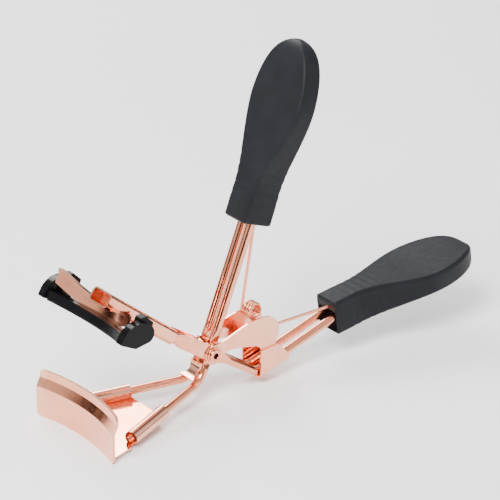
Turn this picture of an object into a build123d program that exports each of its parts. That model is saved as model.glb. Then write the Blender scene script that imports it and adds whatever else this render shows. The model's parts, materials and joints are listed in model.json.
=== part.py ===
from build123d import *
import os
from math import cos, radians, sin

os.makedirs("parts", exist_ok=True)

# An eyelash curler: two bent-wire levers crossing at a tubular rivet, held open by a torsion
# spring. All sizes are in millimetres. X runs from the jaws to the handles, Y along the rivet and
# Z up. The origin is under the middle of the whole curler, on the surface that it stands on.

# Place of the rivet's axis, from the origin
PIVOT_X = -20.545
PIVOT_Z = 11.4

# Motion: the levers are modelled open, and this turn of lever B shuts the jaws
OPEN_ANGLE = 26.8

# Wires
WIRE_R = 1.0
FLAT = 0.9               # thickness where the wire is coined flat round the rivet
EYE_R = 2.3
RUN_OUT_HALF = 0.97      # a run-out ends just inside the round wire
RUN_OUT_CORNER = 0.94
SHEET = 0.45             # the folded brackets
CLEARANCE = 0.05         # running gap between the levers and round the rivet

# The stack on the rivet, as distances from the middle plane
SPACER_HALF = 0.55
A_EYE_IN = 1.05
B_EYE_IN = A_EYE_IN + FLAT + CLEARANCE
LEAF_IN = B_EYE_IN + FLAT
WASHER_IN = LEAF_IN + SHEET + CLEARANCE
WASHER_T = 0.3
HEAD_IN = WASHER_IN + WASHER_T
HEAD_T = 0.5
RIVET_R = 1.0
RIVET_BORE_R = 0.65
RIVET_HEAD_R = 1.6
WASHER_R = 2.0

# Lever A: upper grip to lower jaw
A_ANGLE = 67.8
A_GRIP_ANGLE = 69.4
A_ROD_Y = 1.5
A_CORNER = 7.1           # from the rivet down to the corner towards the jaw
A_BEND_R = 5.0
A_GRIP_AT = 31.0
A_FLAT_HALF = 2.7        # length of the coined part each side of the rivet
A_FLAT_WIDTH = 2.4
A_ROUND_UP = 5.2
A_ROUND_DOWN = 3.85

# Lever B: lower grip to upper jaw
B_ANGLE = -33.8
B_ROD_Y = 1.9
B_CORNER = 15.2
B_BEND_R = 4.0
B_HANDLE_ANGLE = 18.3
B_GRIP_ANGLE = 8.6
B_GRIP_AT = 23.4
B_BLADE_HALF_WIDTH = 1.7
B_BLADE_LENGTH = 9.9
B_BLADE_RUN_OUT = 3.0
B_ARM_ANGLE = -38.5      # past the blade the jaw arm turns up a little
B_ARM_LENGTH = 18.0

# Leaf bracket
HEAD_R = 4.1             # the round end of each leaf
SLEEVE_BULGE = 0.35      # how far the sleeve stands out past the leaves
HEAD_X = 14.2
HEAD_Z = 1.3
SLEEVE_X = 12.9          # the sleeve under the wires, from here
SLEEVE_END_X = 21.2      # to here

# Grips
GRIP_LENGTH = 42.6
GRIP_NECK_HALF_Y = 3.7
GRIP_NECK_HALF_T = 4.25
GRIP_WIDE_HALF_Y = 8.8
GRIP_THIN_HALF_T = 2.5
WIRE_DEPTH = 22.0        # how far the wires run into a grip
WIRE_KINK = 1.5          # where they turn into its line, inside the mouth
MOUTH_DEPTH = 2.5
GRIP_ROUND = 15.0         # length of the round end
GRIP_EDGE_R = 0.9
POCKET_WIDTH = 6.0       # the mouth's recess, which takes the spring's leg beside the wires
POCKET_HEIGHT = 5.4
POCKET_SHIFT = 1.15

# Lower jaw
PLATE_HALF = 15.0
PLATE_END_X = -35.8
PLATE_SAG = 2.2
PLATE_TOP = -0.3
PLATE_SHEET = 0.6
LIP_HEIGHT = 1.9
STEP_HEIGHT = 2.0
STEP_BACK = 1.0
TUBE_FRONT_X = -28.0
TUBE_FRONT_Y = 10.7
TUBE_FRONT_Z = -9.1
TUBE_R = 1.65
TUBE_BORE_R = 1.02
TUBE_LENGTH = 12.4
TRAY_SHEET = 0.5

# Upper jaw, drawn where it stands when the jaws are shut
BAND_HALF = 13.8
BAND_MID_X = -32.6
BAND_SAG = 3.7
BAND_RISE = 2.6
BAND_LOW = 1.6
BAND_HEIGHT = 3.4
BAND_SHEET = 0.5
BAND_LIP = 0.8
SLEEVE_START = 0.1       # distances along the jaw arm
SLEEVE_END = 22.2
SLEEVE_HALF_Y = 3.4
SLEEVE_HALF_T = 1.75
BAR_END_X = -37.3
BAR_HALF = 14.4
BAR_SAG = 2.2
BAR_DEPTH = 3.9
BAR_TOP = 2.15
BAR_BOTTOM = 0.4
PAD_BOTTOM = -0.3 + CLEARANCE
PAD_TOP = 1.2
PAD_WALL = 0.7
CHEEK_OUT = 16.2

# Torsion spring
SPRING_WIRE_R = 0.37
COIL_R = 1.75
COIL_X = 12.9
COIL_Z = 6.4
COIL_PITCH = 0.9
COIL_TURNS = 3
LEG_A_ANGLE = 80.0       # where the upper leg points
LEG_A_LENGTH = 23.3
LEG_B_ANGLE = -37.0      # where the lower leg leaves the coil
LEG_B_KNEE_X = 17.2
LEG_B_KNEE_Z = 1.6
LEG_B_BEND_R = 2.0


def side_plane(turn=0.0, depth=0.0):
    """The plane that the levers swing in: x to the handles, y up, turned about the rivet."""
    a = radians(turn)
    return Plane((PIVOT_X, -depth, PIVOT_Z), x_dir=(cos(a), 0, sin(a)), z_dir=(0, -1, 0))


def plan_plane(height, turn=0.0):
    """A plane seen from above: x to the handles, y to the far side, at a height over the rivet."""
    side = side_plane(turn)
    return Plane(side.from_local_coords((0, height, 0)), x_dir=side.x_dir, z_dir=side.y_dir)


def front_plane(at_x, turn=0.0):
    """A plane seen from the handles: x to the far side, y up, at a distance along the curler."""
    side = side_plane(turn)
    return Plane(side.from_local_coords((at_x, 0, 0)), x_dir=(0, 1, 0), z_dir=side.x_dir)


def place(x, y, z, turn=0.0):
    """A point from its distances to the rivet: along the curler, to the far side and up."""
    return side_plane(turn).from_local_coords((x, z, -y))


def across(turn, distance, y):
    """A plane square to a lever's line, centred on the wire that runs at depth y."""
    return Plane(place(distance, y, 0, turn), x_dir=(0, 1, 0), z_dir=side_plane(turn).x_dir)


def on_arm(distance, y=0.0):
    """A plane square to lever B's jaw arm, so far past the blade, on the wire at depth y."""
    bend = place(-B_BLADE_LENGTH - B_BLADE_RUN_OUT, y, 0, B_ANGLE)
    arm = side_plane(B_ARM_ANGLE).x_dir
    return Plane(bend - distance * arm, x_dir=(0, 1, 0), z_dir=arm)


def grip_plane(turn, at_x, at_z):
    """A grip's own plane: its origin in the mouth, x along the grip and z to the far side."""
    a = radians(turn)
    return Plane(place(at_x, 0, at_z), x_dir=(cos(a), 0, sin(a)), z_dir=(0, 1, 0))


def arc_radius(half_chord, sag):
    return (half_chord**2 + sag**2) / (2 * sag)


def save(part, name):
    part.label = name
    export_step(part, f"parts/{name}.step")


# ---- Lever A ------------------------------------------------------------------------------

a_mouth = grip_plane(A_GRIP_ANGLE, A_GRIP_AT * cos(radians(A_ANGLE)),
                     A_GRIP_AT * sin(radians(A_ANGLE)))

a_corner = Vector(-A_CORNER * cos(radians(A_ANGLE)), 0, -A_CORNER * sin(radians(A_ANGLE)))
tube_front = place(TUBE_FRONT_X, TUBE_FRONT_Y, TUBE_FRONT_Z)
a_turn = place(a_corner.X, A_ROD_Y, a_corner.Z)
a_jaw_dir = (a_turn - tube_front).normalized()

with BuildPart() as lever_a_wire:
    # from the lower jaw round the corner to the coined part
    with BuildLine() as jaw_run:
        FilletPolyline(
            tube_front + a_jaw_dir * 0.8,
            a_turn,
            place(-A_ROUND_DOWN, A_ROD_Y, 0, A_ANGLE),
            radius=A_BEND_R,
        )
    with BuildSketch(Plane(jaw_run.line @ 0, z_dir=jaw_run.line % 0)):
        Circle(WIRE_R)
    sweep(path=jaw_run.line)
    # from the coined part into the grip and round the hairpin
    with BuildLine() as grip_run:
        FilletPolyline(
            place(A_ROUND_UP, A_ROD_Y, 0, A_ANGLE),
            a_mouth.from_local_coords((WIRE_KINK, 0, A_ROD_Y)),
            a_mouth.from_local_coords((WIRE_DEPTH, 0, A_ROD_Y)),
            a_mouth.from_local_coords((WIRE_DEPTH, 0, 0)),
            radius=[8, A_ROD_Y - 0.1],
        )
    with BuildSketch(Plane(grip_run.line @ 0, z_dir=grip_run.line % 0)):
        Circle(WIRE_R)
    sweep(path=grip_run.line)
    # the coined eye and its run-outs
    with BuildSketch(side_plane(A_ANGLE, -A_EYE_IN - FLAT)):
        Rectangle(2 * A_FLAT_HALF, A_FLAT_WIDTH)
        Circle(EYE_R)
    extrude(amount=FLAT)
    for flat_at, round_at in ((A_FLAT_HALF, A_ROUND_UP), (-A_FLAT_HALF, -A_ROUND_DOWN)):
        with BuildSketch(across(A_ANGLE, flat_at, A_EYE_IN + FLAT / 2)):
            RectangleRounded(FLAT, A_FLAT_WIDTH, 0.3)
        with BuildSketch(across(A_ANGLE, round_at, A_ROD_Y)):
            RectangleRounded(2 * RUN_OUT_HALF, 2 * RUN_OUT_HALF, RUN_OUT_CORNER)
        loft()
    mirror(about=Plane.XZ)
    with BuildSketch(side_plane(A_ANGLE, -5)):
        Circle(RIVET_R + 0.04)
    extrude(amount=10, mode=Mode.SUBTRACT)

save(lever_a_wire.part, "lever_a_wire")

plate_r = arc_radius(PLATE_HALF, PLATE_SAG)
plate_axis_x = PLATE_END_X + PLATE_SAG - plate_r
plate_bottom = -PIVOT_Z
face_top = PLATE_TOP - LIP_HEIGHT - STEP_HEIGHT
step_top = PLATE_TOP - LIP_HEIGHT
tray_slope = (a_turn.Z - tube_front.Z) / (a_turn.X - tube_front.X)
tray_front_z = TUBE_FRONT_Z - TUBE_R

with BuildPart() as lower_jaw:
    # the curved plate: main face, inclined step and lip, turned about an upright axis in front
    start = Plane(place(plate_axis_x, 0, 0), x_dir=(cos(radians(20)), -sin(radians(20)), 0),
                  z_dir=(-sin(radians(20)), -cos(radians(20)), 0))
    with BuildSketch(start):
        with BuildLine():
            Polyline(
                (plate_r, plate_bottom),
                (plate_r, face_top),
                (plate_r + STEP_BACK, step_top),
                (plate_r + STEP_BACK, PLATE_TOP),
                (plate_r + STEP_BACK + PLATE_SHEET, PLATE_TOP),
                (plate_r + STEP_BACK + PLATE_SHEET, step_top - 0.15),
                (plate_r + PLATE_SHEET, face_top - 0.15),
                (plate_r + PLATE_SHEET, plate_bottom),
                close=True,
            )
        make_face()
    revolve(axis=Axis(place(plate_axis_x, 0, 0), (0, 0, 1)), revolution_arc=40)
    with BuildSketch(front_plane(PLATE_END_X - 5)):
        with Locations((0, (PLATE_TOP + plate_bottom) / 2)):
            RectangleRounded(2 * PLATE_HALF, PLATE_TOP - plate_bottom, 1.1)
    extrude(amount=12, mode=Mode.INTERSECT)
    # the tray behind it, lying under the tubes
    tray_plane = Plane(place(TUBE_FRONT_X, 0, tray_front_z), x_dir=(1, 0, tray_slope),
                       z_dir=(-tray_slope, 0, 1))
    tube_rear_y = TUBE_FRONT_Y - TUBE_LENGTH * 0.96 * (TUBE_FRONT_Y - A_ROD_Y) / (
        a_turn.X - tube_front.X)
    with BuildSketch(tray_plane):
        with BuildLine():
            Polyline(
                (PLATE_END_X + 1.4 - TUBE_FRONT_X, -13.2),
                (-1.2, -12.2),
                (0, -TUBE_FRONT_Y - 0.3),
                (TUBE_LENGTH * 0.93, -tube_rear_y),
                (TUBE_LENGTH * 0.93, tube_rear_y),
                (0, TUBE_FRONT_Y + 0.3),
                (-1.2, 12.2),
                (PLATE_END_X + 1.4 - TUBE_FRONT_X, 13.2),
                (PLATE_END_X + 2.5 - TUBE_FRONT_X, 7),
                (PLATE_END_X + 2.7 - TUBE_FRONT_X, 0),
                (PLATE_END_X + 2.5 - TUBE_FRONT_X, -7),
                close=True,
            )
        make_face()
    extrude(amount=TRAY_SHEET)
    # a rolled tube round each wire
    for side in (1, -1):
        direction = Vector(a_jaw_dir.X, side * a_jaw_dir.Y, a_jaw_dir.Z)
        tube_mouth = Plane(place(TUBE_FRONT_X, side * TUBE_FRONT_Y, TUBE_FRONT_Z), z_dir=direction)
        with BuildSketch(tube_mouth):
            Circle(TUBE_R)
        extrude(amount=TUBE_LENGTH)
    for side in (1, -1):
        direction = Vector(a_jaw_dir.X, side * a_jaw_dir.Y, a_jaw_dir.Z)
        tube_mouth = Plane(place(TUBE_FRONT_X, side * TUBE_FRONT_Y, TUBE_FRONT_Z), z_dir=direction)
        with BuildSketch(tube_mouth):
            Circle(TUBE_BORE_R)
        extrude(amount=TUBE_LENGTH + 1, mode=Mode.SUBTRACT)

save(lower_jaw.part, "lower_jaw")

bend_centre = side_plane(A_ANGLE).from_local_coords((-A_ROUND_DOWN, A_BEND_R, 0))
centre_x = bend_centre.X - PIVOT_X
centre_z = bend_centre.Z - PIVOT_Z
saddle_r = A_BEND_R - WIRE_R - 0.15

with BuildPart() as pivot_saddle:
    # a strip rolled to sit in the crook of the two wires
    with BuildSketch(side_plane(0, 5)):
        with Locations((centre_x, centre_z)):
            Circle(saddle_r)
            Circle(saddle_r - SHEET, mode=Mode.SUBTRACT)
        with BuildLine():
            Polyline(
                (centre_x, centre_z),
                (centre_x + 8 * cos(radians(-6)), centre_z + 8 * sin(radians(-6))),
                (centre_x + 8 * cos(radians(-42)), centre_z + 8 * sin(radians(-42))),
                (centre_x + 8 * cos(radians(-80)), centre_z + 8 * sin(radians(-80))),
                close=True,
            )
        make_face(mode=Mode.INTERSECT)
    extrude(amount=-10)
    # its hourglass outline
    face_on = Plane(place(centre_x, 0, centre_z), x_dir=(0, 1, 0),
                    z_dir=(cos(radians(42)), 0, -sin(radians(42))))
    with BuildSketch(face_on):
        with BuildLine():
            Line((-1.85, 5), (-1.85, 1.9))
            Spline((-1.85, 1.9), (-1.4, 0), (-3.9, -3.4), tangents=((0, -1), (-1, -1)))
            Line((-3.9, -3.4), (3.9, -3.4))
            Spline((3.9, -3.4), (1.4, 0), (1.85, 1.9), tangents=((-1, 1), (0, 1)))
            Polyline((1.85, 1.9), (1.85, 5), (-1.85, 5))
        make_face()
    extrude(amount=8, mode=Mode.INTERSECT)
    # ears that reach the rivet, inside the two eyes
    for ear_depth in (A_EYE_IN, -SPACER_HALF):
        with BuildSketch(side_plane(0, ear_depth)):
            Circle(EYE_R - 0.1)
            with BuildLine():
                Polyline((0, 2.0), (-2.2, -0.6), (-2.95, -2.0), (-2.75, -2.9), (-1.9, -1.9),
                         (0.8, -1.9), close=True)
            make_face()
        extrude(amount=-(A_EYE_IN - SPACER_HALF))
    with BuildSketch(side_plane(0, 5)):
        Circle(RIVET_R + 0.04)
    extrude(amount=-10, mode=Mode.SUBTRACT)

save(pivot_saddle.part, "pivot_saddle")

# ---- Pivot --------------------------------------------------------------------------------

with BuildPart() as pivot_rivet:
    with BuildSketch(side_plane(0, -HEAD_IN - HEAD_T)):
        Circle(RIVET_R)
    extrude(amount=2 * (HEAD_IN + HEAD_T))
    for side in (1, -1):
        with BuildSketch(side_plane(0, side * HEAD_IN)):
            Circle(RIVET_HEAD_R)
        extrude(amount=side * HEAD_T)
    rims = pivot_rivet.edges().filter_by(GeomType.CIRCLE).filter_by(
        lambda edge: abs(edge.radius - RIVET_HEAD_R) < 0.01)
    fillet(rims.group_by(Axis.Y)[0] + rims.group_by(Axis.Y)[-1], radius=0.3)
    with BuildSketch(side_plane(0, -HEAD_IN - HEAD_T)):
        Circle(RIVET_BORE_R)
    extrude(amount=2 * (HEAD_IN + HEAD_T), mode=Mode.SUBTRACT)
    mouths = pivot_rivet.edges().filter_by(GeomType.CIRCLE).filter_by(
        lambda edge: abs(edge.radius - RIVET_BORE_R) < 0.01)
    fillet(mouths, radius=0.28)

save(pivot_rivet.part, "pivot_rivet")

with BuildPart() as pivot_spacer:
    with BuildSketch(side_plane(0, -SPACER_HALF)):
        Circle(WASHER_R - 0.15)
        Circle(RIVET_R + 0.02, mode=Mode.SUBTRACT)
    extrude(amount=2 * SPACER_HALF)

save(pivot_spacer.part, "pivot_spacer")

with BuildPart() as washer_near:
    with BuildSketch(side_plane(0, WASHER_IN)):
        Circle(WASHER_R)
        Circle(RIVET_R + 0.02, mode=Mode.SUBTRACT)
    extrude(amount=WASHER_T)
    fillet(washer_near.edges().group_by(Axis.Y)[0].sort_by(SortBy.RADIUS)[-1:], radius=0.12)

save(washer_near.part, "washer_near")

with BuildPart() as washer_far:
    with BuildSketch(side_plane(0, -WASHER_IN)):
        Circle(WASHER_R)
        Circle(RIVET_R + 0.02, mode=Mode.SUBTRACT)
    extrude(amount=-WASHER_T)
    fillet(washer_far.edges().group_by(Axis.Y)[-1].sort_by(SortBy.RADIUS)[-1:], radius=0.12)

save(washer_far.part, "washer_far")

# ---- Lever B ------------------------------------------------------------------------------

b_corner_x = B_CORNER * cos(radians(B_ANGLE))
b_corner_z = B_CORNER * sin(radians(B_ANGLE))
b_mouth = grip_plane(B_GRIP_ANGLE, b_corner_x + B_GRIP_AT * cos(radians(B_HANDLE_ANGLE)),
                     b_corner_z + B_GRIP_AT * sin(radians(B_HANDLE_ANGLE)))
b_kink = b_mouth.from_local_coords((WIRE_KINK, 0, 0))
b_slope = (b_kink.Z - PIVOT_Z - b_corner_z) / (b_kink.X - PIVOT_X - b_corner_x)
b_secant = (1 + b_slope**2) ** 0.5


with BuildPart() as lever_b_wire:
    # from the coined part round the corner, into the grip and round the hairpin
    with BuildLine() as handle_run:
        FilletPolyline(
            place(5.5, B_ROD_Y, 0, B_ANGLE),
            place(b_corner_x, B_ROD_Y, b_corner_z),
            b_mouth.from_local_coords((WIRE_KINK, 0, B_ROD_Y)),
            b_mouth.from_local_coords((WIRE_DEPTH, 0, B_ROD_Y)),
            b_mouth.from_local_coords((WIRE_DEPTH, 0, 0)),
            radius=[B_BEND_R, 8, B_ROD_Y - 0.1],
        )
    with BuildSketch(Plane(handle_run.line @ 0, z_dir=handle_run.line % 0)):
        Circle(WIRE_R)
    sweep(path=handle_run.line)
    # the round end that the upper jaw's sleeve holds
    with BuildSketch(on_arm(0, B_ROD_Y)):
        Circle(WIRE_R)
    extrude(amount=-B_ARM_LENGTH)
    # the coined blade with its eye
    with BuildSketch(side_plane(B_ANGLE, -B_EYE_IN - FLAT)):
        with Locations((-B_BLADE_LENGTH / 2, 0)):
            Rectangle(B_BLADE_LENGTH, 2 * B_BLADE_HALF_WIDTH)
        with Locations((1.5, 0)):
            Rectangle(3, 2.7)
        Circle(EYE_R)
    extrude(amount=FLAT)
    blade_y = B_EYE_IN + FLAT / 2
    for flat_at, half_width, round_end in (
        (3.0, 1.35, across(B_ANGLE, 5.5, B_ROD_Y)),
        (-B_BLADE_LENGTH, B_BLADE_HALF_WIDTH, on_arm(0, B_ROD_Y)),
    ):
        with BuildSketch(across(B_ANGLE, flat_at, blade_y)):
            RectangleRounded(FLAT, 2 * half_width, 0.3)
        with BuildSketch(round_end):
            RectangleRounded(2 * RUN_OUT_HALF, 2 * RUN_OUT_HALF, RUN_OUT_CORNER)
        loft()
    mirror(about=Plane.XZ)
    with BuildSketch(side_plane(B_ANGLE, -5)):
        Circle(RIVET_R + 0.04)
    extrude(amount=10, mode=Mode.SUBTRACT)

save(lever_b_wire.part, "lever_b_wire")


def head_point(angle):
    """A point on the round head of a leaf."""
    return HEAD_X + HEAD_R * cos(radians(angle)), HEAD_Z + HEAD_R * sin(radians(angle))


with BuildPart() as leaf_bracket:
    # the sleeve folded under the wires, between the two leaves
    wire_under = b_corner_z - (WIRE_R + 0.01) * b_secant - b_corner_x * b_slope
    sheet_under = wire_under - SHEET * b_secant
    sleeve_out = LEAF_IN + SHEET + SLEEVE_BULGE
    with BuildSketch(side_plane(0, sleeve_out)):
        with BuildLine():
            Polyline(
                (SLEEVE_X, -2.7),
                (SLEEVE_X, sheet_under + SLEEVE_X * b_slope),
                (SLEEVE_END_X, sheet_under + SLEEVE_END_X * b_slope),
                (SLEEVE_END_X - 0.5, sheet_under + SLEEVE_END_X * b_slope + 1.9),
                (17.9, -2.3),
                close=True,
            )
        make_face()
    extrude(amount=-2 * sleeve_out)
    heel = leaf_bracket.edges().filter_by(lambda edge: edge.length > 8).group_by(Axis.Z)[0]
    fillet(heel, radius=1.15)
    with BuildSketch(side_plane(0, sleeve_out - SHEET)):
        with BuildLine():
            Polyline(
                (11, wire_under + 11 * b_slope),
                (24, wire_under + 24 * b_slope),
                (24, 8),
                (11, 8),
                close=True,
            )
        make_face()
    extrude(amount=-2 * (sleeve_out - SHEET), mode=Mode.SUBTRACT)
    # the teardrop leaves, narrow past the rivet and broad over the sleeve
    for side in (1, -1):
        with BuildSketch(side_plane(0, side * (LEAF_IN + SHEET))):
            Circle(EYE_R + 0.05)
            with BuildLine():
                Spline((0.3, 2.2), (4.5, 3.3), (9.6, 5.0), head_point(90),
                       tangents=((1, 0.15), (1, 0)))
                ThreePointArc(head_point(90), head_point(40), head_point(-35))
                Polyline(head_point(-35), (16.6, -3.9), (13.3, -4.1), (13.0, -2.3))
                Spline((13.0, -2.3), (10.4, -0.9), (7.0, -0.25), (3.7, -0.15), (1.0, -2.0),
                       tangents=((-0.4, 1), (-0.7, -1)))
                Line((1.0, -2.0), (0.3, 2.2))
            make_face()
        extrude(amount=-side * SHEET)
    with BuildSketch(side_plane(0, 5)):
        Circle(RIVET_R + 0.04)
    extrude(amount=-10, mode=Mode.SUBTRACT)

save(leaf_bracket.part, "leaf_bracket")

band_r = arc_radius(BAND_HALF, BAND_SAG)
rise_r = arc_radius(BAND_HALF, BAND_RISE)
band_axis_x = BAND_MID_X - band_r


def band_wall(thickness):
    """The band's plan: an arc, hollow towards the eye. Drawn in the sketch that calls it."""
    with Locations((band_axis_x, 0)):
        Circle(band_r + thickness / 2)
        Circle(band_r - thickness / 2, mode=Mode.SUBTRACT)


def band_arch(low, height):
    """The band's rise to its two ends, seen from the handles."""
    with Locations((0, low + rise_r)):
        Circle(rise_r)
    with Locations((0, low + height + rise_r)):
        Circle(rise_r, mode=Mode.SUBTRACT)


def half_space(half_y, height):
    with Locations((0, height / 2)):
        Rectangle(2 * half_y, height, mode=Mode.INTERSECT)


with BuildPart() as band:
    with BuildSketch(plan_plane(0, -OPEN_ANGLE)):
        band_wall(BAND_SHEET)
    extrude(amount=14)
    with BuildSketch(front_plane(BAND_MID_X + 1, -OPEN_ANGLE)):
        band_arch(BAND_LOW, BAND_HEIGHT)
        half_space(BAND_HALF, 14)
    extrude(amount=-7, mode=Mode.INTERSECT)
with BuildPart() as band_lip:
    with BuildSketch(plan_plane(0, -OPEN_ANGLE)):
        band_wall(BAND_SHEET + 0.7)
    extrude(amount=14)
    with BuildSketch(front_plane(BAND_MID_X + 1.4, -OPEN_ANGLE)):
        band_arch(BAND_LOW + BAND_HEIGHT - BAND_LIP, BAND_LIP)
        half_space(BAND_HALF, 14)
    extrude(amount=-7, mode=Mode.INTERSECT)

with BuildPart() as upper_jaw:
    # the sleeve round both wires
    with BuildSketch(on_arm(SLEEVE_START)):
        RectangleRounded(2 * SLEEVE_HALF_Y, 2 * SLEEVE_HALF_T, 1.0)
    extrude(amount=-(SLEEVE_END - SLEEVE_START))
    # the fan between the sleeve and the band
    fan_up = side_plane(B_ARM_ANGLE).y_dir
    fan = Plane(on_arm(0).origin - SLEEVE_HALF_T * fan_up, x_dir=side_plane(B_ARM_ANGLE).x_dir,
                z_dir=fan_up)
    with BuildSketch(fan):
        with BuildLine():
            Spline((-6, -SLEEVE_HALF_Y + 0.6), (-14, -6), (-21.3, -9.5))
            ThreePointArc((-21.3, -9.5), (-19.8, 0), (-21.3, 9.5))
            Spline((-21.3, 9.5), (-14, 6), (-6, SLEEVE_HALF_Y - 0.6))
            Line((-6, SLEEVE_HALF_Y - 0.6), (-6, -SLEEVE_HALF_Y + 0.6))
        make_face()
    extrude(amount=TRAY_SHEET)
    add(band.part)
    add(band_lip.part)
    for side in (1, -1):
        with BuildSketch(on_arm(SLEEVE_START - 1, side * B_ROD_Y)):
            Circle(WIRE_R + 0.02)
        extrude(amount=-(SLEEVE_END - SLEEVE_START + 2), mode=Mode.SUBTRACT)
    # the sleeve's open end, past the wires
    with BuildSketch(on_arm(B_ARM_LENGTH + CLEARANCE)):
        RectangleRounded(2 * (SLEEVE_HALF_Y - SHEET), 2 * (SLEEVE_HALF_T - SHEET), 0.6)
    extrude(amount=-(SLEEVE_END - B_ARM_LENGTH + 1), mode=Mode.SUBTRACT)

save(upper_jaw.part, "upper_jaw")

bar_r = arc_radius(BAR_HALF, BAR_SAG)
bar_axis_x = BAR_END_X + BAR_SAG - bar_r


def bar_plan(inset):
    """The bar's plan: an arc strip, inset from its front and back edges."""
    with Locations((bar_axis_x, 0)):
        Circle(bar_r + BAR_DEPTH - inset)
        Circle(bar_r + inset, mode=Mode.SUBTRACT)
    with Locations((BAR_END_X, 0)):
        Rectangle(16, 2 * BAR_HALF, mode=Mode.INTERSECT)


with BuildPart() as pad_holder:
    with BuildSketch(plan_plane(BAR_BOTTOM, -OPEN_ANGLE)):
        bar_plan(0)
    extrude(amount=BAR_TOP - BAR_BOTTOM)
    # end cheeks that keep the lashes in, each with a tab behind the band's end
    for side in (1, -1):
        with BuildSketch(side_plane(-OPEN_ANGLE, side * CHEEK_OUT)):
            with BuildLine():
                Line((-37.9, 0.1), (-33.8, 0.1))
                Line((-33.8, 0.1), (-30.7, 2.4))
                ThreePointArc((-30.7, 2.4), (-30.5, 4.5), (-31.9, 5.9))
                ThreePointArc((-31.9, 5.9), (-34.8, 5.8), (-37.0, 4.1))
                ThreePointArc((-37.0, 4.1), (-37.8, 2.2), (-37.9, 0.1))
            make_face()
        extrude(amount=-side * (CHEEK_OUT - BAR_HALF + 0.3))
        with BuildSketch(side_plane(-OPEN_ANGLE, side * (BAR_HALF + 0.4))):
            with BuildLine():
                Polyline((-34.4, 1.0), (-34.4, 6.6), (-33.2, 7.3), (-30.6, 6.4), (-30.2, 3.0),
                         (-32.4, 1.0), close=True)
            make_face()
        extrude(amount=-side * 1.9)
    # the groove that holds the pad and the slot that the band's middle stands in
    with BuildSketch(plan_plane(BAR_BOTTOM - 1, -OPEN_ANGLE)):
        bar_plan(PAD_WALL)
    extrude(amount=PAD_TOP - BAR_BOTTOM + 1, mode=Mode.SUBTRACT)
    with BuildSketch(plan_plane(BAND_LOW, -OPEN_ANGLE)):
        band_wall(BAND_SHEET + 0.04)
        Rectangle(100, 2 * BAR_HALF - 2, mode=Mode.INTERSECT)
    extrude(amount=6, mode=Mode.SUBTRACT)

save(pad_holder.part, "pad_holder")

with BuildPart() as silicone_pad:
    with BuildSketch(plan_plane(PAD_BOTTOM, -OPEN_ANGLE)):
        bar_plan(PAD_WALL)
    extrude(amount=PAD_TOP - PAD_BOTTOM)

save(silicone_pad.part, "silicone_pad")

# ---- Grips --------------------------------------------------------------------------------


def ease(value, start, end):
    """0 before start, 1 after end and a smooth step between them."""
    t = min(max((value - start) / (end - start), 0), 1)
    return t * t * (3 - 2 * t)


def grip_section(along):
    """Half width, half thickness and corner radius of a grip, so far from its mouth."""
    half_y = GRIP_NECK_HALF_Y + (GRIP_WIDE_HALF_Y - GRIP_NECK_HALF_Y) * ease(along, 7, 28)
    half_t = GRIP_NECK_HALF_T - (GRIP_NECK_HALF_T - GRIP_THIN_HALF_T) * ease(along, 5, 28)
    past_widest = max(along - GRIP_LENGTH + GRIP_ROUND, 0) / GRIP_ROUND
    half_y *= (1 - past_widest**2) ** 0.5
    half_t *= (1 - past_widest**8) ** 0.5
    return half_y, half_t, min(GRIP_EDGE_R, 0.75 * half_t, 0.9 * half_y)


def make_grip(mouth, towards_leg, rod_y):
    """A paddle grip with its bore for the wires and, in its mouth, room for the spring's leg."""
    end = Plane(mouth.origin, x_dir=(0, 1, 0), z_dir=mouth.x_dir)
    stations = [0, 5, 10, 15, 20, 25, 30, 34, 37, 39.5, 41.0, 41.9, 42.4]
    with BuildPart() as paddle:
        for station in stations:
            half_y, half_t, corner = grip_section(station)
            with BuildSketch(end.offset(station)):
                RectangleRounded(2 * half_y, 2 * half_t, corner)
        loft()
        with BuildSketch(end):
            SlotOverall(2 * (rod_y + WIRE_R), 2 * WIRE_R + 0.02)
        extrude(amount=WIRE_DEPTH + WIRE_R + 0.05, mode=Mode.SUBTRACT)
        with BuildSketch(end):
            with Locations((0, POCKET_SHIFT * towards_leg)):
                RectangleRounded(POCKET_WIDTH, POCKET_HEIGHT, 0.5)
        extrude(amount=MOUTH_DEPTH, mode=Mode.SUBTRACT)
    return paddle.part


grip_a = make_grip(a_mouth, -1, A_ROD_Y)
save(grip_a, "grip_a")

grip_b = make_grip(b_mouth, 1, B_ROD_Y)
save(grip_b, "grip_b")

# ---- Spring -------------------------------------------------------------------------------

coil_turn = COIL_TURNS * 360 + (LEG_B_ANGLE - 90) - (LEG_A_ANGLE + 90) + 360
coil_half = COIL_PITCH * coil_turn / 720
start_angle = radians(LEG_A_ANGLE + 90)
coil_start = Plane(place(COIL_X, coil_half, COIL_Z),
                   x_dir=(cos(start_angle), 0, sin(start_angle)), z_dir=(0, -1, 0))
coil = coil_start * Helix(pitch=COIL_PITCH, height=2 * coil_half, radius=COIL_R)
leg_b_knee = place(LEG_B_KNEE_X, -coil_half, LEG_B_KNEE_Z)
leg_b_end = b_mouth.from_local_coords((MOUTH_DEPTH - 0.7, -2.6, -coil_half))

with BuildPart() as torsion_spring:
    with BuildSketch(Plane(coil @ 0, z_dir=coil % 0)):
        Circle(SPRING_WIRE_R)
    sweep(path=coil)
    leg_a = Vector(cos(radians(LEG_A_ANGLE)), 0, sin(radians(LEG_A_ANGLE)))
    with BuildSketch(Plane(coil @ 0 - leg_a * SPRING_WIRE_R, z_dir=leg_a)):
        Circle(SPRING_WIRE_R)
    extrude(amount=LEG_A_LENGTH + SPRING_WIRE_R)
    with BuildLine() as leg_b:
        FilletPolyline(coil @ 1 - (coil % 1) * SPRING_WIRE_R, leg_b_knee, leg_b_end, radius=LEG_B_BEND_R)
    with BuildSketch(Plane(leg_b.line @ 0, z_dir=leg_b.line % 0)):
        Circle(SPRING_WIRE_R)
    sweep(path=leg_b.line)

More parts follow.
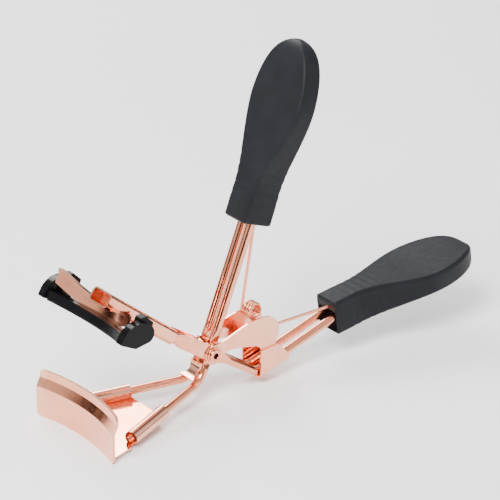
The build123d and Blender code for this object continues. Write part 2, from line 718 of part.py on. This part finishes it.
save(torsion_spring.part, "torsion_spring")
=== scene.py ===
import json
from math import cos, pi, radians, sin

import bmesh
import bpy
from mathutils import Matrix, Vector


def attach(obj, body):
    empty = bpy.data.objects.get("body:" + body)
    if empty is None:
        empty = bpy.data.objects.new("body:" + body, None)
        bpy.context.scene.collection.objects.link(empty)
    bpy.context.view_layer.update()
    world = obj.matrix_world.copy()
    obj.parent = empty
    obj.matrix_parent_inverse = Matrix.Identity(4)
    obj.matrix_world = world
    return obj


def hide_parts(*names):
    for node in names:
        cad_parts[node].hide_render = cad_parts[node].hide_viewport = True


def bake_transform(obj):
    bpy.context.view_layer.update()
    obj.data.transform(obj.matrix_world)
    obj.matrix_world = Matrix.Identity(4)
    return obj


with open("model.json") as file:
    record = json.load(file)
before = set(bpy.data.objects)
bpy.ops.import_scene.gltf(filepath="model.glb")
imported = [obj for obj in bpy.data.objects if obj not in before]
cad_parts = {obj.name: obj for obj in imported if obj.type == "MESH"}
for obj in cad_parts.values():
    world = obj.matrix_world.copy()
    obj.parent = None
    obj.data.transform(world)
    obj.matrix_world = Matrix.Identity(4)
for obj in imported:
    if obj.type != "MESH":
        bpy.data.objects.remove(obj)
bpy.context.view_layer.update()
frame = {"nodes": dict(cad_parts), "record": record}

# Places, in metres: the rivet's axis and the lines of the two levers when the jaws are open
joint = frame["record"]["behaviour"]["joints"][0]
PIVOT = Vector(joint["pos_m"])
A_ANGLE = 67.8
A_GRIP_ANGLE = 69.4
A_GRIP_AT = 0.031
B_ANGLE = -33.8
B_CORNER = 0.0152
B_HANDLE_ANGLE = 18.3
B_GRIP_ANGLE = 8.6
B_GRIP_AT = 0.0234

# Camera
CAMERA_DISTANCE = 0.657
CAMERA_AZIMUTH = -35.93
CAMERA_ELEVATION = 26.1
CAMERA_LENS = 210.0
AIM_RIGHT = 0.01016
AIM_UP = 0.02243


def direction(angle):
    """A unit vector in the plane that the levers swing in, at an angle above the X axis."""
    return Vector((cos(radians(angle)), 0, sin(radians(angle))))


# ---- Camera -------------------------------------------------------------------------------


def make_camera():
    azimuth = radians(CAMERA_AZIMUTH)
    elevation = radians(CAMERA_ELEVATION)
    back = Vector((sin(azimuth) * cos(elevation), -cos(azimuth) * cos(elevation), sin(elevation)))
    right = Vector((cos(azimuth), sin(azimuth), 0))
    up = back.cross(right)
    camera = bpy.data.objects.new("camera", bpy.data.cameras.new("camera"))
    bpy.context.collection.objects.link(camera)
    aim = PIVOT + AIM_RIGHT * right + AIM_UP * up
    camera.location = PIVOT + CAMERA_DISTANCE * back
    camera.rotation_euler = (aim - camera.location).to_track_quat("-Z", "Y").to_euler()
    camera.data.sensor_width = 36
    camera.data.lens = CAMERA_LENS
    camera.data.clip_start = 0.01
    bpy.context.scene.camera = camera


make_camera()

# ---- Materials ----------------------------------------------------------------------------


def fill_ramp(ramp, stops):
    """Gives a colour ramp its (position, colour) stops."""
    while len(ramp.elements) < len(stops):
        ramp.elements.new(0.5)
    for element, (position, colour) in zip(ramp.elements, stops):
        element.position = position
        element.color = (*colour, 1)


class Nodes:
    """A material's node tree, with short ways to add a node and to link two."""

    def __init__(self, name):
        self.material = bpy.data.materials.new(name)
        self.material.use_nodes = True
        self.tree = self.material.node_tree
        self.shader = self.tree.nodes["Principled BSDF"]
        self.place = self.add("ShaderNodeTexCoord").outputs["Object"]

    def add(self, kind, **values):
        node = self.tree.nodes.new(kind)
        for name, value in values.items():
            setattr(node, name, value)
        return node

    def link(self, output, socket):
        self.tree.links.new(output, socket)

    def noise(self, scale, detail=3.0, roughness=0.5, stretch=None):
        """A noise texture at a scale in cycles per metre, stretched by a factor along each axis."""
        node = self.add("ShaderNodeTexNoise")
        node.inputs["Scale"].default_value = scale
        node.inputs["Detail"].default_value = detail
        node.inputs["Roughness"].default_value = roughness
        place = self.place
        if stretch:
            mapping = self.add("ShaderNodeMapping")
            mapping.inputs["Scale"].default_value = stretch
            self.link(place, mapping.inputs["Vector"])
            place = mapping.outputs["Vector"]
        self.link(place, node.inputs["Vector"])
        return node.outputs["Fac"]

    def spread(self, value, low, high, to_low, to_high):
        """Maps a value from one range onto another, held at its ends."""
        node = self.add("ShaderNodeMapRange")
        for socket, number in zip(node.inputs[1:5], (low, high, to_low, to_high)):
            socket.default_value = number
        self.link(value, node.inputs["Value"])
        return node.outputs["Result"]

    def tint(self, value, stops):
        """A colour ramp through (position, colour) stops."""
        node = self.add("ShaderNodeValToRGB")
        fill_ramp(node.color_ramp, stops)
        self.link(value, node.inputs["Fac"])
        return node.outputs["Color"]

    def bump(self, height, distance, strength=1.0, under=None):
        """A bump that lifts the surface by a distance in metres, laid over another one."""
        node = self.add("ShaderNodeBump")
        node.inputs["Strength"].default_value = strength
        node.inputs["Distance"].default_value = distance
        self.link(height, node.inputs["Height"])
        if under:
            self.link(under, node.inputs["Normal"])
        return node.outputs["Normal"]

    def set(self, **values):
        for name, value in values.items():
            self.shader.inputs[name.replace("_", " ")].default_value = value

    def drive(self, output, socket):
        self.link(output, self.shader.inputs[socket])


def rose_gold(name, polish):
    """Rose-gold plating: a mirror finish, faintly wavy and rubbed, with paler worn edges."""
    nodes = Nodes(name)
    nodes.set(Metallic=1.0, Coat_Weight=0.15, Coat_Roughness=0.05)
    tone = nodes.tint(nodes.noise(180, 4, 0.6), (
        (0.30, (0.87, 0.31, 0.17)),
        (0.70, (0.95, 0.39, 0.235)),
    ))
    pointiness = nodes.add("ShaderNodeNewGeometry").outputs["Pointiness"]
    edge = nodes.spread(pointiness, 0.53, 0.62, 0, 0.55)
    rubbed = nodes.add("ShaderNodeMix", data_type="RGBA")
    rubbed.inputs["B"].default_value = (0.95, 0.52, 0.38, 1)
    nodes.link(edge, rubbed.inputs["Factor"])
    nodes.link(tone, rubbed.inputs["A"])
    nodes.drive(rubbed.outputs["Result"], "Base Color")
    smudges = nodes.noise(420, 5, 0.65)
    nodes.drive(nodes.spread(smudges, 0.35, 0.75, polish, polish + 0.11), "Roughness")
    waves = nodes.bump(nodes.noise(260, 2, 0.4), 0.00006, 0.5)
    rubs = nodes.noise(2600, 3, 0.6, stretch=(0.12, 1.0, 0.35))
    nodes.drive(nodes.bump(rubs, 0.000006, 0.35, waves), "Normal")
    return nodes.material


def silicone(name, dark, light, roughness, grain):
    """Moulded silicone: matte, with a fine spark-eroded grain, faint mottling and a little dust."""
    nodes = Nodes(name)
    nodes.set(Sheen_Weight=0.01, Sheen_Roughness=0.5, Specular_IOR_Level=0.13)
    nodes.drive(nodes.tint(nodes.noise(110, 5, 0.6), ((0.32, dark), (0.72, light))), "Base Color")
    sheen = nodes.noise(650, 4, 0.6)
    nodes.drive(nodes.spread(sheen, 0.3, 0.7, roughness - 0.06, roughness + 0.08), "Roughness")
    swell = nodes.bump(nodes.noise(140, 2, 0.4), 0.00008, 0.5)
    nodes.drive(nodes.bump(nodes.noise(grain, 4, 0.65), 0.00003, 0.55, swell), "Normal")
    return nodes.material


def moulded_plastic(name):
    """Black injection-moulded plastic: a soft sheen, a fine grain and edges rubbed shiny."""
    nodes = Nodes(name)
    nodes.set(Specular_IOR_Level=0.12, Coat_Weight=0.02, Coat_Roughness=0.25)
    nodes.drive(nodes.tint(nodes.noise(240, 4, 0.6), (
        (0.3, (0.0015, 0.0015, 0.002)),
        (0.7, (0.0028, 0.0028, 0.0034)),
    )), "Base Color")
    edge = nodes.add("ShaderNodeNewGeometry").outputs["Pointiness"]
    nodes.drive(nodes.spread(edge, 0.48, 0.60, 0.42, 0.24), "Roughness")
    sink = nodes.bump(nodes.noise(330, 2, 0.4), 0.00005, 0.5)
    nodes.drive(nodes.bump(nodes.noise(5200, 3, 0.6), 0.000012, 0.5, sink), "Normal")
    return nodes.material


ROSE_GOLD = rose_gold("rose_gold_polished", 0.07)
ROSE_GOLD_SHEET = rose_gold("rose_gold_sheet", 0.10)
SPRING_WIRE = rose_gold("rose_gold_spring_wire", 0.16)
GRIP_SILICONE = silicone(
    "grip_silicone", (0.0068, 0.0072, 0.0092), (0.0105, 0.011, 0.014), 0.50, 4200)
PAD_SILICONE = silicone(
    "pad_silicone", (0.006, 0.006, 0.007), (0.011, 0.011, 0.013), 0.40, 3600)
HOLDER_PLASTIC = moulded_plastic("holder_plastic")

FINISHES = {
    "lever_a_wire": ROSE_GOLD,
    "lever_b_wire": ROSE_GOLD,
    "pivot_rivet": ROSE_GOLD,
    "washer_near": ROSE_GOLD,
    "washer_far": ROSE_GOLD,
    "pivot_spacer": ROSE_GOLD,
    "lower_jaw": ROSE_GOLD_SHEET,
    "pivot_saddle": ROSE_GOLD_SHEET,
    "leaf_bracket": ROSE_GOLD_SHEET,
    "upper_jaw": ROSE_GOLD_SHEET,
    "pad_holder": HOLDER_PLASTIC,
    "silicone_pad": PAD_SILICONE,
}
for node, finish in FINISHES.items():
    for material_slot in frame["nodes"][node].material_slots:
        material_slot.material = finish

# ---- Pieces -------------------------------------------------------------------------------


def mesh_object(name, mesh, material):
    """A smooth-shaded object made of a bmesh, which is freed."""
    data = bpy.data.meshes.new(name)
    mesh.to_mesh(data)
    mesh.free()
    data.materials.append(material)
    data.polygons.foreach_set("use_smooth", [True] * len(data.polygons))
    piece = bpy.data.objects.new(name, data)
    bpy.context.collection.objects.link(piece)
    return piece


def skin(mesh, rings):
    """Joins rings of points, each with the same count, into a skin closed at both ends."""
    loops = [[mesh.verts.new(point) for point in ring] for ring in rings]
    for before, after in zip(loops, loops[1:]):
        count = len(before)
        for i in range(count):
            j = (i + 1) % count
            mesh.faces.new((before[i], before[j], after[j], after[i]))
    mesh.faces.new(list(reversed(loops[0])))
    mesh.faces.new(loops[-1])


# Grips: a paddle on a narrow neck, with a lipped mouth, a pocket in it and shallow ribs
GRIP_LENGTH = 0.0424
NECK_HALF_Y = 0.0037
NECK_HALF_T = 0.00425
WIDE_HALF_Y = 0.0088
THIN_HALF_T = 0.0025
WIDENS_FROM = 0.007          # where the neck begins to widen, to thin, and is a paddle
THINS_FROM = 0.005
PADDLE_FROM = 0.028
ROUND_END = 0.0148           # the length of the paddle's round end
TIP_GAP = 0.00002            # the last ring is sized this far before the tip
EDGE_R = 0.0009
MOUTH_ROUND = 0.0004
POCKET_SHIFT = 0.00115       # how far the pocket sits towards the spring's leg
POCKET_DEPTH = 0.0023
POCKET_HALF_Y = 0.003
POCKET_HALF_T = 0.0027
POCKET_CORNER = 0.0006
POCKET_FLOOR_INSET = 0.0002
POCKET_FLARE = 0.0001
RIB_FROM = 0.0045
RIB_TO = 0.0165
RIB_FADE_IN = 0.001
RIB_FADE_OUT = 0.003
RIB_PITCH = 0.0022
RIB_DEPTH = 0.00005
RING_POINTS = 96
GRIP_STATIONS = 210
STATION_CROWDING = 1.6       # crowds the rings towards the round end
WELD_DISTANCE = 0.000002


def ease(value, start, end):
    """0 before start, 1 after end and a smooth step between them."""
    t = min(max((value - start) / (end - start), 0), 1)
    return t * t * (3 - 2 * t)


def grip_size(along):
    """Half width and half thickness of a grip, so far from its mouth."""
    half_y = NECK_HALF_Y + (WIDE_HALF_Y - NECK_HALF_Y) * ease(along, WIDENS_FROM, PADDLE_FROM)
    half_t = NECK_HALF_T - (NECK_HALF_T - THIN_HALF_T) * ease(along, THINS_FROM, PADDLE_FROM)
    past = max(along - GRIP_LENGTH + ROUND_END, 0) / ROUND_END
    return half_y * max(1 - past**2, 0) ** 0.5, half_t * max(1 - past**8, 0) ** 0.5


def grip_ring(origin, along_dir, up_dir, along, half_y, half_t, corner, shift=0.0):
    """One closed ring: a rectangle whose corners are round, across the grip."""
    corner = min(corner, 0.95 * half_t, 0.95 * half_y)
    ring = []
    quarter = RING_POINTS // 4
    for i in range(RING_POINTS):
        turn, step = divmod(i, quarter)
        angle = pi / 2 * (turn + step / (quarter - 1))
        side_y = 1 if turn in (0, 3) else -1
        side_t = 1 if turn in (0, 1) else -1
        y = side_y * (half_y - corner) + corner * cos(angle)
        t = side_t * (half_t - corner) + corner * sin(angle) + shift
        ring.append(origin + along * along_dir + t * up_dir + Vector((0, y, 0)))
    return ring


def rib(along):
    """The depth of the shallow ribs round a grip's neck."""
    fade_in = ease(along, RIB_FROM - RIB_FADE_IN, RIB_FROM + RIB_FADE_IN)
    fade = fade_in - ease(along, RIB_TO - RIB_FADE_OUT, RIB_TO)
    return RIB_DEPTH * fade * (0.5 - 0.5 * cos(2 * pi * along / RIB_PITCH)) ** 2


def make_grip(name, node, body, origin, angle, towards_leg):
    """A grip, skinned from its pocket's floor out through the mouth and along to the round end."""
    along_dir = direction(angle)
    up_dir = direction(angle + 90)
    shift = POCKET_SHIFT * towards_leg
    rings = []
    for depth, flare in (
        (POCKET_DEPTH, -POCKET_FLOOR_INSET),
        (POCKET_DEPTH, 0),
        (MOUTH_ROUND, 0),
        (MOUTH_ROUND / 3, POCKET_FLARE),
    ):
        rings.append(grip_ring(origin, along_dir, up_dir, depth,
                               POCKET_HALF_Y + flare, POCKET_HALF_T + flare, POCKET_CORNER, shift))
    for i in range(GRIP_STATIONS + 1):
        along = GRIP_LENGTH * (1 - (1 - i / GRIP_STATIONS) ** STATION_CROWDING)
        half_y, half_t = grip_size(min(along, GRIP_LENGTH - TIP_GAP))
        lip = MOUTH_ROUND * (1 - min(along / MOUTH_ROUND, 1)) ** 2
        inset = lip + rib(along)
        rings.append(grip_ring(origin, along_dir, up_dir, along,
                               half_y - inset, half_t - inset, EDGE_R))
    mesh = bmesh.new()
    skin(mesh, rings)
    bmesh.ops.remove_doubles(mesh, verts=mesh.verts, dist=WELD_DISTANCE)
    bmesh.ops.recalc_face_normals(mesh, faces=mesh.faces)
    piece = mesh_object(name, mesh, GRIP_SILICONE)
    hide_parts(node)
    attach(piece, body)


a_mouth = PIVOT + A_GRIP_AT * direction(A_ANGLE)
b_corner = PIVOT + B_CORNER * direction(B_ANGLE)
b_mouth = b_corner + B_GRIP_AT * direction(B_HANDLE_ANGLE)
make_grip("grip_a_moulding", "grip_a", "lever_a", a_mouth, A_GRIP_ANGLE, 1)
make_grip("grip_b_moulding", "grip_b", "lever_b", b_mouth, B_GRIP_ANGLE, -1)

# ---- Spring -------------------------------------------------------------------------------

COIL_CENTRE = PIVOT + Vector((0.0129, 0, 0.0064))
COIL_R = 0.00175
COIL_PITCH = 0.0009
COIL_TURNS = 3
SPRING_WIRE_R = 0.00037
LEG_A_ANGLE = 80.0
LEG_A_LENGTH = 0.0233
LEG_B_ANGLE = -37.0
LEG_B_KNEE = Vector((0.0172, 0, 0.0016))
LEG_B_IN_MOUTH = Vector((0.0018, 0, 0.0026))
LEG_B_BEND_REACH = 0.0025
LEG_A_STEPS = 24
BEND_STEPS = 12
COIL_STEP = 7.5
TUBE_SIDES = 16


def rounded_corner(start, corner, end, reach):
    """Points from after start to end, with a smooth turn that begins a reach before the corner."""
    before = corner + (start - corner).normalized() * reach
    after = corner + (end - corner).normalized() * reach
    turn = [(1 - t) ** 2 * before + 2 * t * (1 - t) * corner + t * t * after
            for t in (i / BEND_STEPS for i in range(BEND_STEPS + 1))]
    run = [after.lerp(end, i / BEND_STEPS) for i in range(1, BEND_STEPS + 1)]
    return [start.lerp(before, 0.5)] + turn + run


def spring_path():
    """The spring's centre line: the upper leg, the coil and the bent lower leg."""
    total = COIL_TURNS * 360 + (LEG_B_ANGLE - 90) - (LEG_A_ANGLE + 90) + 360
    half = COIL_PITCH * total / 720
    steps = int(total / COIL_STEP)
    coil = []
    for i in range(steps + 1):
        turned = total * i / steps
        angle = LEG_A_ANGLE + 90 + turned
        y = half - COIL_PITCH * turned / 360
        coil.append(COIL_CENTRE + COIL_R * direction(angle) + Vector((0, y, 0)))
    leg_a = [coil[0] + LEG_A_LENGTH * (1 - i / LEG_A_STEPS) * direction(LEG_A_ANGLE)
             for i in range(LEG_A_STEPS)]
    knee = PIVOT + LEG_B_KNEE - Vector((0, half, 0))
    tip = (b_mouth + LEG_B_IN_MOUTH.x * direction(B_GRIP_ANGLE)
           + LEG_B_IN_MOUTH.z * direction(B_GRIP_ANGLE + 90) - Vector((0, half, 0)))
    return leg_a + coil + rounded_corner(coil[-1], knee, tip, LEG_B_BEND_REACH)


def make_spring():
    """The spring's wire, a tube laid along its path from the upper leg round the coil to the lower
    leg.
    """
    path = spring_path()
    rings = []
    for i, point in enumerate(path):
        tangent = (path[min(i + 1, len(path) - 1)] - path[max(i - 1, 0)]).normalized()
        side = tangent.cross(Vector((0, 1, 0))).normalized()
        rise = side.cross(tangent)
        rings.append([
            point + SPRING_WIRE_R * (cos(2 * pi * k / TUBE_SIDES) * side
                                     + sin(2 * pi * k / TUBE_SIDES) * rise)
            for k in range(TUBE_SIDES)
        ])
    mesh = bmesh.new()
    skin(mesh, rings)
    bmesh.ops.recalc_face_normals(mesh, faces=mesh.faces)
    piece = mesh_object("torsion_spring_wire", mesh, SPRING_WIRE)
    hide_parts("torsion_spring")
    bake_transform(piece)


make_spring()

# ---- Stage --------------------------------------------------------------------------------

FLOOR_HALF = 3.0
LIGHTS_AIM = Vector((0, 0, 0.035))

# The sky's greys from the bottom up, its greys round the horizon, and its strength
SKY_HEIGHT_STOPS = ((0.0, 0.25), (0.05, 0.03), (0.12, 0.05), (0.20, 0.9), (0.85, 0.8))
SKY_GAP_STOPS = (
    (0.04, 1.0), (0.09, 0.1), (0.14, 1.0),
    (0.45, 1.0), (0.49, 0.08), (0.53, 1.0),
    (0.78, 1.0), (0.82, 0.1), (0.86, 1.0),
)
SKY_STRENGTH = 1.25


def greys(stops):
    """Turns (position, grey) stops into (position, colour) stops."""
    return [(position, (grey, grey, grey)) for position, grey in stops]


def make_floor():
    """A pale table top."""
    mesh = bmesh.new()
    corners = [(-FLOOR_HALF, -FLOOR_HALF), (FLOOR_HALF, -FLOOR_HALF),
               (FLOOR_HALF, FLOOR_HALF), (-FLOOR_HALF, FLOOR_HALF)]
    mesh.faces.new([mesh.verts.new((x, y, 0)) for x, y in corners])
    nodes = Nodes("pale_floor")
    nodes.drive(nodes.tint(nodes.noise(9, 3), (
        (0.3, (0.93, 0.93, 0.93)),
        (0.7, (0.95, 0.95, 0.95)),
    )), "Base Color")
    nodes.set(Roughness=0.6, Specular_IOR_Level=0.2)
    mesh_object("floor", mesh, nodes.material)


def make_light(name, place, size, power):
    """A square softbox aimed at the middle of the curler."""
    light = bpy.data.objects.new(name, bpy.data.lights.new(name, "AREA"))
    bpy.context.collection.objects.link(light)
    light.data.shape = "SQUARE"
    light.data.size = size
    light.data.energy = power
    light.location = place
    light.rotation_euler = (LIGHTS_AIM - light.location).to_track_quat("-Z", "Y").to_euler()


def make_sky():
    """A white studio with a dark band low down and dark gaps between its softboxes."""
    world = bpy.data.worlds.new("studio")
    bpy.context.scene.world = world
    world.use_nodes = True
    tree = world.node_tree
    shade = tree.nodes["Background"]
    place = tree.nodes.new("ShaderNodeTexCoord").outputs["Generated"]
    parts = tree.nodes.new("ShaderNodeSeparateXYZ")
    tree.links.new(place, parts.inputs["Vector"])
    height = tree.nodes.new("ShaderNodeValToRGB")
    tree.links.new(parts.outputs["Z"], height.inputs["Fac"])
    fill_ramp(height.color_ramp, greys(SKY_HEIGHT_STOPS))
    around = tree.nodes.new("ShaderNodeTexGradient")
    around.gradient_type = "RADIAL"
    tree.links.new(place, around.inputs["Vector"])
    gaps = tree.nodes.new("ShaderNodeValToRGB")
    tree.links.new(around.outputs["Fac"], gaps.inputs["Fac"])
    fill_ramp(gaps.color_ramp, greys(SKY_GAP_STOPS))
    both = tree.nodes.new("ShaderNodeMix")
    both.data_type = "RGBA"
    both.blend_type = "MULTIPLY"
    both.inputs["Factor"].default_value = 1.0
    tree.links.new(height.outputs["Color"], both.inputs["A"])
    tree.links.new(gaps.outputs["Color"], both.inputs["B"])
    tree.links.new(both.outputs["Result"], shade.inputs["Color"])
    shade.inputs["Strength"].default_value = SKY_STRENGTH


make_floor()
make_sky()
make_light("key", (-0.38, -0.20, 0.52), 0.30, 8.5)
make_light("fill", (0.45, -0.45, 0.30), 0.25, 0.7)
make_light("back", (0.10, 0.55, 0.45), 0.35, 5.0)
